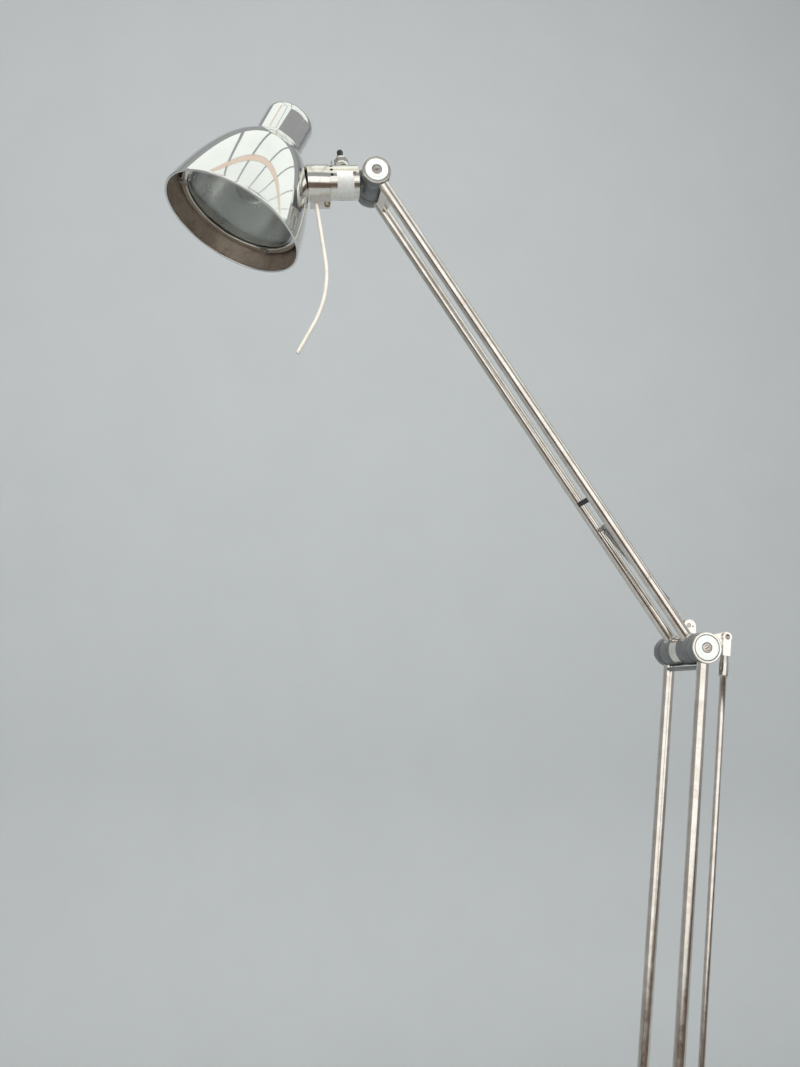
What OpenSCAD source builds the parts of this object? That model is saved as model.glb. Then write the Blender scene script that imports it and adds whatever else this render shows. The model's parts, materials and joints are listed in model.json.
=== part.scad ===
// Adjustable arm floor lamp: round weighted base, column, two spring-balanced arms
// made of paired tubes, and a swivelling dome shade. Millimetres, +Z up.
// The origin is the centre of the base on the floor, the arms move in the XZ plane,
// the shade is towards -X and every arm joint turns about Y.

/* [Base] */
// Outer diameter of the round base
base_d = 300; // [260:5:340]
// Height of the base cover above the floor
base_h = 32; // [28:1:40]

/* [Column] */
// Height of the lower joint's axis above the floor
joint_h = 760; // [640:10:860]
// Outer diameter of the column tube
column_d = 25; // [24:0.5:28]

/* [Arms] */
// Distance between the two joint axes of each arm
arm_len = 605; // [500:5:700]
// Outer diameter of the four arm tubes
tube_d = 12; // [11:0.5:12]
// Wall of the arm tubes
tube_wall = 1; // [0.8:0.1:1.5]
// Half the centre distance of the lower arm's tubes
lower_half_pitch = 39.8; // [39.6:0.1:40]
// Half the centre distance of the upper arm's tubes
upper_half_pitch = 20; // [19.8:0.1:20.4]
// Lean of the lower arm from upright, away from the shade
lower_lean = 6.7; // [0:0.1:12]
// Lean of the upper arm from upright, towards the shade
upper_lean = 33.8; // [25:0.1:45]
// Diameter of the joint barrels
barrel_d = 32; // [31:0.5:32]
// Diameter of the joint axles
axle_d = 10; // [8:1:10]

/* [Balance linkage] */
// Diameter of the levelling tie rod
tie_rod_d = 7; // [6:0.5:7]
// Reach of the tie rod's pin from the joint axis, along X
tie_pin_x = 45; // [44:1:48]
// Rise of the tie rod's pin above the joint axis
tie_pin_z = 14; // [12:1:16]
// Rise of the spring's pin above the joint axis
spring_pin_z = 26; // [26:0.5:28]
// Distance of the spring's far pin from the joint axis, along the arm
spring_reach = 155; // [145:1:165]
// Outer diameter of the upper arm's spring
upper_spring_d = 8.4; // [8:0.2:9]
// Outer diameter of the lower arm's spring
lower_spring_d = 12; // [11:0.5:13]

/* [Head] */
// Drop of the head tube towards the shade, in degrees
head_slope = 6; // [3:0.5:8]
// Outer diameter of the head tube
head_tube_d = 36.8; // [36.4:0.2:37.6]
// Swivel of the shade about the head tube
shade_swivel = -5.2; // [-10:0.1:0]
// Angle of the shade's axis from the head tube's normal
shade_tilt = 30.5; // [28:0.5:33]

/* [Shade] */
// Outer diameter of the shade's rim
rim_d = 154; // [150:1:158]
// Height of the dome, rim to crown
dome_h = 114; // [112:1:116]
// Outer diameter of the shade's neck
neck_d = 53.8; // [53:0.2:54.4]
// Height of the neck's closed end above the rim
neck_top = 152; // [148:1:156]
// Wall of the shade
shade_wall = 1.2; // [1:0.1:1.6]

/* [Hidden] */
$fn = 64;
// radial clearances: running fit, free part, and the linkage pivot that is left open
run_gap = 0.05;
side_gap = 0.3;
open_gap = 0.5;

tube_r = tube_d / 2;
barrel_r = barrel_d / 2;
axle_r = axle_d / 2;
// stations along the elbow and lower joint barrels, measured out from the middle
ring_half = 8.3;
inner_hub_end = 33;
outer_hub_end = 46.4;
cap_t = 1.6;
// stations along the top joint
head_hub_half = 11.6;
top_hub_end = 26.9;
top_barrel_r = 15.6;
// the tubes are let into their hubs down to this distance from the axis
tube_seat = 10;
// distance of each arm's cross bar from the arm's lower axis
lower_bar_z = spring_reach + 15;
upper_bar_z = 190;

elbow_x = arm_len * sin(lower_lean);
elbow_z = joint_h + arm_len * cos(lower_lean);
top_x = elbow_x - arm_len * sin(upper_lean);
top_z = elbow_z + arm_len * cos(upper_lean);

// base
foot_h = 4;
weight_h = 21;
cover_wall = 1.5;
bolt_r = 6;
// mains lead: height of its inlet, and the channel for it under the weight
gland_z = 13;
lead_channel_w = 12;

// column and swivel
flange_h = 14;
column_foot = base_h;
fork_drop = 58;
socket_h = 70;
socket_flange = 6;
post_r = 6;
column_top = joint_h - fork_drop - socket_flange - 1;
column_wall = 2;

// linkage
ear_r = 5.5;
ear_half = 2.5;
pin_r = 2.5;
clevis_t = 2.4;
rod_seat = 24;

// head, in the frame of the head tube: x along it away from the shade, z up
collar_x0 = -73;
collar_x1 = -49.2;
head_end_x = -17.6;
spigot_r = 16;
collar_r = 19.2;
head_tube_r = head_tube_d / 2;
switch_x = -33;
switch_seat = head_tube_r - 3;
rim_reach = 156.3;
rim_drop = 47.2;

// block under the collar: its depth below it, its width, where its two holes are, the screw's place
lug_h = 7.6;
lug_w = 13;
lug_y = -3;
lock_x = collar_x1 - 4.2;
handle_x = collar_x1 - 16;
// white label: where it starts above the tube's near side, and how far it wraps down, in degrees
label_top = 10;
label_wrap = 115;

// aiming handle: straight, bend, straight, and its lean where it leaves the collar
handle_r = 2;
handle_first = 70;
handle_bend_r = 130;
handle_bend = 34.8;
handle_last = 34;
handle_lead = 2.6;

// shade, in its own frame: z from the rim's plane up the neck
rim_r = rim_d / 2;
neck_r = neck_d / 2;
neck_round = 12;
glass_z = 21;
reflector_top = 100;
// the dome's curve ends in the neck at this height, and is drawn in this many steps
dome_end = 106;
dome_steps = 26;

// ---------- helpers ----------

// cylinder along Y from y0 to y1
module y_rod(r, y0, y1) {
    translate([0, y0, 0]) rotate([-90, 0, 0]) cylinder(r = r, h = y1 - y0);
}
// cylinder along X from x0 to x1
module x_rod(r, x0, x1) {
    translate([x0, 0, 0]) rotate([0, 90, 0]) cylinder(r = r, h = x1 - x0);
}
module both_sides() {
    children();
    mirror([0, 1, 0]) children();
}
module along_lower() {
    translate([0, 0, joint_h]) rotate([0, lower_lean, 0]) children();
}
module at_elbow() {
    translate([elbow_x, 0, elbow_z]) children();
}
module along_upper() {
    at_elbow() rotate([0, -upper_lean, 0]) children();
}
module at_head() {
    translate([top_x, 0, top_z]) rotate([0, -head_slope, 0]) children();
}
module swivelled() {
    at_head() rotate([shade_swivel, 0, 0]) children();
}
module in_shade() {
    swivelled() translate([-rim_reach, 0, -rim_drop]) rotate([0, shade_tilt, 0]) children();
}

// one tube of an arm, in the arm's frame
module arm_tube(y) {
    translate([0, y, tube_seat]) difference() {
        cylinder(r = tube_r, h = arm_len - 2 * tube_seat);
        translate([0, 0, -1]) cylinder(r = tube_r - tube_wall, h = arm_len - 2 * tube_seat + 2);
    }
}
// joint hub of an arm between two stations, with the socket of its tube; up is 1 or -1
module hub(r, y0, y1, tube_y, up, bore_r) {
    difference() {
        union() {
            y_rod(r, y0 + 0.6, y1 - 0.6);
            y_rod(r - 0.6, y0, y1);
        }
        y_rod(bore_r, y0 - 1, y1 + 1);
        translate([0, tube_y, 0]) rotate([up > 0 ? 0 : 180, 0, 0])
            translate([0, 0, tube_seat]) cylinder(r = tube_r, h = r);
    }
}
// end cap of a barrel, its face at station y1: rim, sunk ring and raised middle
module cap(r, y0, y1) {
    difference() {
        union() {
            y_rod(r - 0.5, y0, y1);
            y_rod(r, y0, y1 - 0.4);
        }
        translate([0, y1 - 0.5, 0]) rotate([-90, 0, 0]) difference() {
            cylinder(r = r - 2, h = 2);
            translate([0, 0, -1]) cylinder(r = r - 3.2, h = 4);
        }
        y_rod(5.2, y1 - 1, y1 + 1);
    }
}
// slotted screw head along Y, its face at station y1
module slotted_screw(r, y0, y1) {
    difference() {
        y_rod(r, y0, y1);
        translate([-r, y1 - 0.6, -0.5]) cube([2 * r, 1, 1]);
    }
}
// ring with two ears: one straight up for a spring and one out for the tie rod
module ear_outline(x, z, root, end) {
    reach = norm([x, z]);
    rotate(atan2(z, x)) union() {
        polygon([[0, -root], [reach, -end], [reach, end], [0, root]]);
        translate([reach, 0]) circle(r = end);
    }
}
module ear_ring(bore_r) {
    difference() {
        union() {
            y_rod(barrel_r, -ring_half, ring_half);
            translate([0, ear_half, 0]) rotate([90, 0, 0]) linear_extrude(2 * ear_half) union() {
                ear_outline(tie_pin_x, tie_pin_z, 10, ear_r);
                ear_outline(4.2, spring_pin_z - 0.6, 10, ear_r + 1.3);
            }
        }
        // small locating hole beside the spring's pin
        translate([7.6, 0, spring_pin_z - 1]) y_rod(0.9, -ear_half - 1, ear_half + 1);
        y_rod(bore_r, -ring_half - 1, ring_half + 1);
        translate([tie_pin_x, 0, tie_pin_z]) y_rod(pin_r, -10, 10);
        translate([3, 0, spring_pin_z]) y_rod(pin_r, -10, 10);
    }
}
// pin through an ear, sunk in its near face, with a head at its far end
module ear_pin(far) {
    y_rod(pin_r, -ear_half + 0.8, far);
    y_rod(pin_r + 1.4, far, far + 1.2);
}
module ear_pins() {
    translate([tie_pin_x, 0, tie_pin_z]) ear_pin(ear_half + side_gap + clevis_t + 0.2);
    translate([3, 0, spring_pin_z]) ear_pin(ear_half + 3);
}
// spring of an arm: a coil's envelope with a drawbar at the lever end and a hook at the far end
module spring_body(d, from, to) {
    run = to - from;
    reach = norm(run);
    coil_start = 34;
    coil_end = reach - 6;
    translate([from[0], 0, from[1]]) rotate([0, atan2(run[0], run[1]), 0]) {
        translate([0, 0, coil_start]) difference() {
            cylinder(r = d / 2, h = coil_end - coil_start);
            translate([0, 0, -1]) cylinder(r = d / 2 - 1.4, h = coil_end - coil_start + 2);
        }
        translate([0, ear_half + 1.2, 0]) difference() {
            union() {
                translate([-2.5, -0.8, 0]) cube([5, 1.6, coil_start]);
                y_rod(4, -0.8, 0.8);
            }
            y_rod(pin_r + 0.02, -2, 2);
        }
        translate([0, 0, coil_start - 2]) difference() {
            y_rod(2.5, -2, ear_half + 2);
            translate([-5, -8, -8]) cube([10, 16, 8]);
        }
        translate([0, 0, coil_start]) cylinder(r = d / 2 - 1.4, h = 3);
        translate([0, 0, coil_end - 3]) cylinder(r = d / 2 - 1.4, h = 3);
        translate([0, 0, coil_end]) difference() {
            translate([0, 0, 3]) y_rod(3.6 + pin_r, -1.5, 1.5);
            translate([0, 0, reach - coil_end]) y_rod(pin_r + 0.02, -4, 4);
            translate([-10, -4, -12]) cube([20, 8, 11]);
        }
    }
}
// the far pin of an arm's spring, in the XZ plane, relative to the joint axis
function far_pin(lean) = [spring_reach * sin(lean), spring_reach * cos(lean)];

// ---------- base ----------

module base_weight() {
    color("dimgray") translate([0, 0, foot_h]) difference() {
        union() {
            cylinder(r = base_d / 2 - 6, h = weight_h - 3, $fn = 128);
            cylinder(r = base_d / 2 - 9, h = weight_h, $fn = 128);
        }
        translate([0, 0, -1]) cylinder(r = bolt_r, h = weight_h + 2);
        translate([0, 0, -1]) cylinder(r = 13, h = 8 + 1);
        translate([0, -lead_channel_w / 2, -1]) cube([base_d, lead_channel_w, gland_z + 4]);
    }
}
module base_cover() {
    round_r = 9;
    outer = base_d / 2;
    inner = outer - cover_wall;
    color("silver") difference() {
        rotate_extrude($fn = 128) difference() {
            union() {
                translate([0, foot_h + 1]) square([outer, base_h - foot_h - 1 - round_r]);
                translate([0, foot_h + 1]) square([outer - round_r, base_h - foot_h - 1]);
                translate([outer - round_r, base_h - round_r]) circle(r = round_r);
            }
            translate([-1, 0]) square([inner + 1, foot_h + weight_h]);
            translate([-1, 0]) square([inner - round_r + 1, base_h - cover_wall]);
            translate([-100, 0]) square([100, base_h + 1]);
        }
        translate([0, 0, base_h - 5]) cylinder(r = bolt_r, h = 10);
        translate([outer - 10, 0, 13]) rotate([0, 90, 0]) cylinder(r = 5, h = 20);
    }
}
module foot_pad() {
    cylinder(r1 = 10, r2 = 11, h = foot_h - 1);
    translate([0, 0, foot_h - 1]) cylinder(r = 11, h = 1);
}
// six pads near the edge and one under the bolt
module base_feet() {
    feet = 6;
    color("black") foot_pad();
    color("black") for (i = [0:feet - 1]) rotate(i * 360 / feet + 30)
        translate([base_d / 2 - 26, 0, 0]) foot_pad();
}
module base_bolt() {
    color("gray") translate([0, 0, foot_h]) union() {
        difference() {
            cylinder(r = 10.5, h = 7, $fn = 6);
            translate([0, 0, -1]) cylinder(r = 2, h = 2);
        }
        translate([0, 0, 7]) cylinder(r = 12, h = 1);
        cylinder(r = bolt_r, h = 52);
    }
}
module cable_gland() {
    rear = base_d / 2;
    color("black") translate([0, 0, gland_z]) difference() {
        union() {
            x_rod(5, rear - 5.6, rear);
            x_rod(8, rear, rear + 2);
            translate([rear + 2, 0, 0]) rotate([0, 90, 0]) cylinder(r1 = 6, r2 = 4.6, h = 9);
        }
        x_rod(3.4, rear - 8, rear + 12);
    }
}

// ---------- column ----------

module column_flange() {
    color("silver") translate([0, 0, column_foot]) difference() {
        union() {
            cylinder(r = 26, h = 3);
            translate([0, 0, 3]) cylinder(r1 = 26, r2 = column_d / 2 + 3, h = 6);
            cylinder(r = column_d / 2 + 3, h = flange_h);
        }
        translate([0, 0, 1.5]) cylinder(r = column_d / 2, h = flange_h);
        translate([0, 0, -1]) cylinder(r = bolt_r, h = 4);
    }
}
module column_tube() {
    color("silver") translate([0, 0, column_foot + 1.5]) difference() {
        cylinder(r = column_d / 2, h = column_top - column_foot - 1.5);
        translate([0, 0, -1]) cylinder(r = column_d / 2 - column_wall, h = column_top);
    }
}
module column_plug() {
    color("gray") translate([0, 0, column_foot + 1.5]) difference() {
        cylinder(r = column_d / 2 - column_wall, h = 30);
        translate([0, 0, -1]) cylinder(r = bolt_r, h = foot_h + 52 - column_foot);
    }
}
module swivel_socket() {
    color("silver") translate([0, 0, column_top]) difference() {
        union() {
            translate([0, 0, -socket_h]) cylinder(r = column_d / 2 - column_wall, h = socket_h);
            cylinder(r = column_d / 2 + 1.5, h = socket_flange - 1);
            cylinder(r = column_d / 2 + 0.7, h = socket_flange);
        }
        translate([0, 0, -socket_h + 5]) cylinder(r = post_r + run_gap, h = socket_h + 10);
    }
}

// ---------- fork, turns about the column ----------

module swivel_post() {
    low = column_top - socket_h + 6;
    color("gray") difference() {
        translate([0, 0, low]) cylinder(r = post_r, h = joint_h - fork_drop + 10 - low);
        translate([0, 0, low - 1]) cylinder(r = 2.5, h = joint_h);
    }
}
module fork_yoke() {
    color([0.24, 0.25, 0.27]) translate([0, 0, joint_h]) difference() {
        union() {
            both_sides() y_rod(barrel_r, ring_half + side_gap, inner_hub_end);
            both_sides() translate([-11, ring_half + 4, -44]) cube([22, 15, 44]);
            translate([-15, -ring_half - 19, -48]) cube([30, 2 * ring_half + 38, 10]);
            translate([0, 0, -fork_drop]) cylinder(r = column_d / 2 + 1.5, h = 12);
        }
        y_rod(axle_r, -40, 40);
        translate([0, 0, -fork_drop - 1]) cylinder(r = post_r, h = 11);
    }
}
module fixed_lever() {
    color([0.75, 0.75, 0.73]) translate([0, 0, joint_h]) ear_ring(axle_r);
}
module lower_axle() {
    color("gray") translate([0, 0, joint_h]) y_rod(axle_r, -outer_hub_end + 2, outer_hub_end - 2);
}
module fixed_lever_pins() {
    color("gray") translate([0, 0, joint_h]) ear_pins();
}

// ---------- lower arm ----------

module lower_tube_near() {
    color("silver") along_lower() arm_tube(-lower_half_pitch);
}
module lower_tube_far() {
    color("silver") along_lower() arm_tube(lower_half_pitch);
}
module lower_foot_hubs() {
    color([0.24, 0.25, 0.27]) along_lower() both_sides()
        hub(barrel_r, inner_hub_end + side_gap, outer_hub_end, lower_half_pitch, 1, axle_r + run_gap);
}
module lower_foot_caps() {
    color("whitesmoke") along_lower() both_sides()
        union() {
            cap(barrel_r, outer_hub_end, outer_hub_end + cap_t);
            y_rod(4.4, outer_hub_end + cap_t - 1, outer_hub_end + cap_t - 0.2);
        }
}
module lower_spring_pin() {
    color("gray") along_lower() translate([0, 0, spring_reach])
        y_rod(pin_r, -lower_half_pitch + tube_r, lower_half_pitch - tube_r);
}
module lower_cross_bar() {
    color([0.13, 0.13, 0.13]) along_lower() translate([0, 0, lower_bar_z]) difference() {
        translate([-4, -lower_half_pitch, -2.5]) cube([8, 2 * lower_half_pitch, 5]);
        both_sides() translate([0, lower_half_pitch, -5]) cylinder(r = tube_r, h = 10);
        both_sides() translate([-10, lower_half_pitch - 0.8, -5]) cube([20, 20, 10]);
    }
}
module lower_spring() {
    color("silver") translate([0, 0, joint_h])
        spring_body(lower_spring_d, [3, spring_pin_z], far_pin(lower_lean));
}

// ---------- elbow ----------

module elbow_outer_hubs() {
    color([0.24, 0.25, 0.27]) at_elbow() rotate([0, lower_lean, 0]) both_sides()
        hub(barrel_r, inner_hub_end + side_gap, outer_hub_end, lower_half_pitch, -1, axle_r);
}
module elbow_bridge() {
    half = lower_half_pitch - tube_r;
    color([0.2, 0.2, 0.21]) at_elbow() rotate([0, lower_lean, 0])
        translate([-5, -half, -21]) cube([10, 2 * half, 3]);
}
module elbow_axle() {
    color("gray") at_elbow() y_rod(axle_r, -outer_hub_end + 2, outer_hub_end - 2);
}
module elbow_caps() {
    color("whitesmoke") at_elbow() both_sides() cap(barrel_r, outer_hub_end, outer_hub_end + cap_t);
}
module elbow_cap_screws() {
    color("gray") at_elbow() both_sides()
        slotted_screw(4.4, outer_hub_end + cap_t - 1, outer_hub_end + cap_t - 0.2);
}

// ---------- levelling crank and tie rod ----------

module crank_ring() {
    color([0.75, 0.75, 0.73]) at_elbow() ear_ring(axle_r + run_gap);
}
module crank_pins() {
    color("gray") at_elbow() ear_pins();
}
// the tie rod's frame: z runs from its lower pin to its upper pin
module along_tie_rod() {
    translate([tie_pin_x, 0, joint_h + tie_pin_z]) rotate([0, lower_lean, 0]) children();
}
module tie_rod() {
    color("silver") along_tie_rod() translate([0, 0, rod_seat])
        cylinder(r = tie_rod_d / 2, h = arm_len - 2 * rod_seat);
}
// lug beyond the ear, ribbed neck and sleeve at one end; hole_r is the pin hole's radius
module rod_end(hole_r) {
    inner = ear_half + side_gap;
    outer = inner + clevis_t;
    ribs = 4;
    rib_pitch = 1.9;
    difference() {
        union() {
            y_rod(5, inner, outer);
            translate([-4.2, inner, 0]) cube([8.4, clevis_t, 20]);
            translate([-4.2, -3.4, 17.5]) cube([8.4, outer + 3.4, 2.5]);
            translate([0, 0, 19]) cylinder(r = 3.9, h = 8);
            for (i = [0:ribs - 1]) translate([0, 0, 19.4 + i * rib_pitch]) cylinder(r = 4.5, h = 1);
            translate([0, 0, 26.4]) cylinder(r = 4.8, h = 14);
            translate([0, 0, 40.4]) cylinder(r1 = 4.8, r2 = tie_rod_d / 2 + 0.3, h = 3);
        }
        translate([0, inner, 0]) y_rod(hole_r, -1, clevis_t + 1);
        translate([0, 0, rod_seat]) cylinder(r = tie_rod_d / 2, h = 20);
    }
}
module tie_rod_ends() {
    color("silver") along_tie_rod() union() {
        rod_end(pin_r + run_gap);
        translate([0, 0, arm_len]) rotate([180, 0, 0]) rod_end(pin_r + open_gap);
    }
}

// ---------- upper arm ----------

module upper_tube_near() {
    color("silver") along_upper() difference() {
        arm_tube(-upper_half_pitch);
        translate([0, 0, 88]) y_rod(1.4, -upper_half_pitch - tube_d, -upper_half_pitch);
    }
}
module upper_tube_far() {
    color("silver") along_upper() arm_tube(upper_half_pitch);
}
module elbow_inner_hubs() {
    color([0.24, 0.25, 0.27]) along_upper() both_sides()
        hub(barrel_r, ring_half + side_gap, inner_hub_end, upper_half_pitch, 1, axle_r + run_gap);
}
module rubber_cross_bar() {
    color([0.13, 0.13, 0.13]) along_upper() translate([0, 0, upper_bar_z]) difference() {
        translate([-4.5, -upper_half_pitch, -2.5]) cube([9, 2 * upper_half_pitch, 5]);
        both_sides() translate([0, upper_half_pitch, -5]) cylinder(r = tube_r, h = 10);
        both_sides() translate([-10, upper_half_pitch - 0.8, -5]) cube([20, 20, 10]);
    }
}
module upper_spring_pin() {
    color("gray") along_upper() translate([0, 0, spring_reach])
        y_rod(pin_r, -upper_half_pitch + tube_r, upper_half_pitch - tube_r);
}
module upper_spring() {
    color("silver") at_elbow() spring_body(upper_spring_d, [3, spring_pin_z], far_pin(-upper_lean));
}

// ---------- top joint ----------

module top_hubs() {
    color([0.24, 0.25, 0.27]) along_upper() translate([0, 0, arm_len]) both_sides()
        hub(top_barrel_r, head_hub_half + side_gap, top_hub_end, upper_half_pitch, -1, axle_r);
}
module top_bridge() {
    half = upper_half_pitch - tube_r;
    color("lightgray") along_upper() translate([-4.5, -half, arm_len - 28]) cube([9, 2 * half, 10.5]);
}
module top_axle() {
    color("gray") translate([top_x, 0, top_z]) y_rod(axle_r, -top_hub_end + 2, top_hub_end - 2);
}
module top_caps() {
    color("whitesmoke") translate([top_x, 0, top_z]) both_sides()
        cap(top_barrel_r, top_hub_end, top_hub_end + cap_t);
}
module top_cap_screws() {
    color("gray") translate([top_x, 0, top_z]) both_sides()
        slotted_screw(4.4, top_hub_end + cap_t - 1, top_hub_end + cap_t - 0.2);
}

// ---------- head ----------

module head_hub() {
    color([0.24, 0.25, 0.27]) at_head() difference() {
        union() {
            y_rod(top_barrel_r, -head_hub_half + 0.5, head_hub_half - 0.5);
            y_rod(top_barrel_r - 0.5, -head_hub_half, head_hub_half);
            translate([head_end_x + 2, -head_hub_half + 1, -9]) cube([8, 2 * head_hub_half - 2, 18]);
            x_rod(head_tube_r - 1.6 - run_gap, head_end_x - 8, head_end_x);
            x_rod(11, head_end_x - 1, head_end_x + 5);
        }
        y_rod(axle_r + run_gap, -20, 20);
        translate([head_end_x - 5, 0, 1]) y_rod(1.25, -head_tube_r, 0);
    }
}
module head_tube() {
    vents = 10;
    vent_pitch = 20;
    color("silver") at_head() difference() {
        union() {
            x_rod(head_tube_r, collar_x1 + side_gap, head_end_x);
            x_rod(spigot_r, collar_x0 + 5, collar_x1 + 1);
        }
        x_rod(head_tube_r - 1.6, collar_x1 + 1.5, head_end_x + 1);
        x_rod(spigot_r - 2, collar_x0, collar_x1 + 4);
        for (i = [0:vents - 1]) rotate([i * vent_pitch - 90, 0, 0])
            translate([collar_x1 + 2.4, 0, head_tube_r - 5]) cylinder(r = 1.6, h = 10);
        translate([switch_x, 0, head_tube_r - 5]) cylinder(r = 5.5, h = 10);
        translate([head_end_x - 5, 0, 1]) y_rod(1.25, -head_tube_r - 1, 0);
    }
}
module head_tube_screw() {
    color("gray") at_head() translate([head_end_x - 5, 0, 1]) mirror([0, 1, 0]) union() {
        slotted_screw(2, head_tube_r, head_tube_r + 1);
        y_rod(1.2, head_tube_r - 4, head_tube_r);
    }
}
module blank_label() {
    color("white") at_head() translate([switch_x - 8.6, 0, 0]) rotate([0, 90, 0]) rotate(-90 - label_top)
        rotate_extrude(angle = label_wrap) translate([head_tube_r, 0]) square([0.25, 18]);
}
module switch_body() {
    color([0.15, 0.15, 0.16]) at_head() translate([switch_x, 0, 0]) union() {
        translate([-6, -6, 0]) cube([12, 12, switch_seat]);
        translate([-5, -0.4, -5]) cube([1, 0.8, 6]);
        translate([4, -0.4, -5]) cube([1, 0.8, 6]);
    }
}
module switch_bushing() {
    color("silver") at_head() translate([switch_x, 0, 0]) difference() {
        union() {
            translate([0, 0, switch_seat]) cylinder(r = 5.5, h = 13.8);
            translate([0, 0, head_tube_r + 4.2]) cylinder(r = 7.8, h = 4, $fn = 6);
            translate([0, 0, head_tube_r + 8.2]) cylinder(r1 = 6.6, r2 = 5.8, h = 1.5);
        }
        translate([0, 0, head_tube_r + 0.6]) cylinder(r = 4.2, h = 14);
    }
}
module switch_washer() {
    color("silver") at_head() translate([switch_x, 0, 0]) difference() {
        union() {
            translate([0, 0, head_tube_r - 1]) cylinder(r = 8.4, h = 3.4);
            translate([0, 0, head_tube_r + 2.4]) cylinder(r = 7.2, h = 1.8);
            translate([-11.5, -2.6, head_tube_r - 0.6]) cube([7, 5.2, 1.2]);
            translate([-11.5, -2.6, head_tube_r - 0.6]) cube([1.4, 5.2, 7]);
        }
        translate([0, 0, head_tube_r - 3]) cylinder(r = 5.5, h = 10);
        head_tube_outside();
    }
}
// the head tube's outside, cut from what is seated on it
module head_tube_outside() {
    x_rod(head_tube_r, -30, 30);
}
module toggle_lever() {
    lever_lean = 10;
    color("black") at_head() translate([switch_x, 0, head_tube_r + 5]) rotate([-lever_lean, 0, 0])
        union() {
            sphere(r = 3.4);
            x_rod(1, -3.9, 3.9);
            cylinder(r1 = 2.4, r2 = 3.4, h = 13.5);
            translate([0, 0, 13.5]) sphere(r = 3.4);
        }
}

// ---------- shade, turns about the head tube ----------

// swivel collar with a block below that takes the locking screw and the handle
module swivel_collar() {
    color("silver") difference() {
        swivelled() difference() {
            union() {
                x_rod(collar_r, collar_x0 + 0.5, collar_x1);
                x_rod(collar_r - 0.5, collar_x0, collar_x1 - 0.4);
                translate([collar_x0 + 1.7, -lug_w / 2, -collar_r - lug_h]) cube([22, lug_w, lug_h + 3]);
                x_rod(12, collar_x0 - 6, collar_x0 + 1);
            }
            x_rod(spigot_r + run_gap, collar_x0 + 4, collar_x1 + 1);
            x_rod(4, collar_x0 - 13, collar_x1);
            translate([lock_x, lug_y, -collar_r - lug_h - 1]) cylinder(r = 1.65, h = lug_h + 5);
            translate([handle_x, lug_y, -collar_r - 3]) rotate([0, 180 - handle_lead, 0])
                translate([0, 0, -0.5]) cylinder(r = handle_r + 2 * run_gap, h = 9);
        }
        in_shade() dome_solid();
    }
    color("silver") swivelled() difference() {
        x_rod(7, collar_x0 - 5, collar_x0 + 3);
        x_rod(4, collar_x0 - 6, collar_x0 + 4);
    }
}
// locking screw, up through the collar's block to the head tube
module clamp_screw() {
    head_h = 2.6;
    color("gray") swivelled() translate([lock_x, lug_y, -collar_r - lug_h]) union() {
        cylinder(r = 1.6, h = lug_h + 2.8);
        difference() {
            translate([0, 0, -head_h]) cylinder(r1 = 2.6, r2 = 3.3, h = head_h);
            translate([-4, -0.5, -head_h - 1]) cube([8, 1, 1.9]);
        }
    }
}
// handle rod: a straight run, one bend back under the shade, and a short straight end
module handle_path(r, first, bend_r, bend, last, lead) {
    rotate([0, 180 - lead, 0]) {
        cylinder(r = r, h = first);
        translate([0, 0, first]) sphere(r = r + 0.05);
        translate([bend_r, 0, first]) rotate([90, 0, 0]) rotate(180 - bend)
            rotate_extrude(angle = bend) translate([bend_r, 0]) circle(r = r);
        translate([bend_r, 0, first]) rotate([0, bend, 0]) translate([-bend_r, 0, 0]) union() {
            cylinder(r = r, h = last);
            sphere(r = r + 0.05);
        }
    }
}
module at_handle() {
    swivelled() translate([handle_x, lug_y, -collar_r - 3]) children();
}
module handle_rod() {
    color([0.93, 0.91, 0.84]) at_handle()
        handle_path(handle_r, handle_first, handle_bend_r, handle_bend, handle_last, handle_lead);
}
module handle_tip() {
    color([0.3, 0.28, 0.26]) at_handle() rotate([0, 180 - handle_lead, 0])
        translate([handle_bend_r, 0, handle_first]) rotate([0, handle_bend, 0])
            translate([-handle_bend_r, 0, handle_last]) cylinder(r = 1.6, h = 2);
}

// radius of the dome's outside at height s above the rim
function dome_r(s) = rim_r * pow(1 - pow(min(s, dome_h) / dome_h, 1.25), 0.4);
function dome_points(inset) = [for (i = [0:dome_steps])
    let (s = (dome_end - inset) * i / dome_steps) [dome_r(s) - inset, s]];
module neck_outline(inset) {
    r = neck_r - inset;
    top = neck_top - inset;
    round_r = neck_round - inset;
    union() {
        translate([0, dome_end - 10]) square([r, top - round_r - dome_end + 10]);
        translate([0, dome_end - 10]) square([r - round_r, top - dome_end + 10]);
        translate([r - round_r, top - round_r]) circle(r = round_r);
    }
}
// hollow curve where the dome runs into the neck
module neck_fillet() {
    r = 6;
    sweep = 50;
    arc = [for (i = [0:6]) let (a = 180 + sweep - i * sweep / 6)
        [neck_r + r + r * cos(a), dome_end - r * sin(180 + sweep) + r * sin(a)]];
    polygon(concat([[0, dome_end - 1]], arc, [[0, dome_end + 5]]));
}
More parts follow.
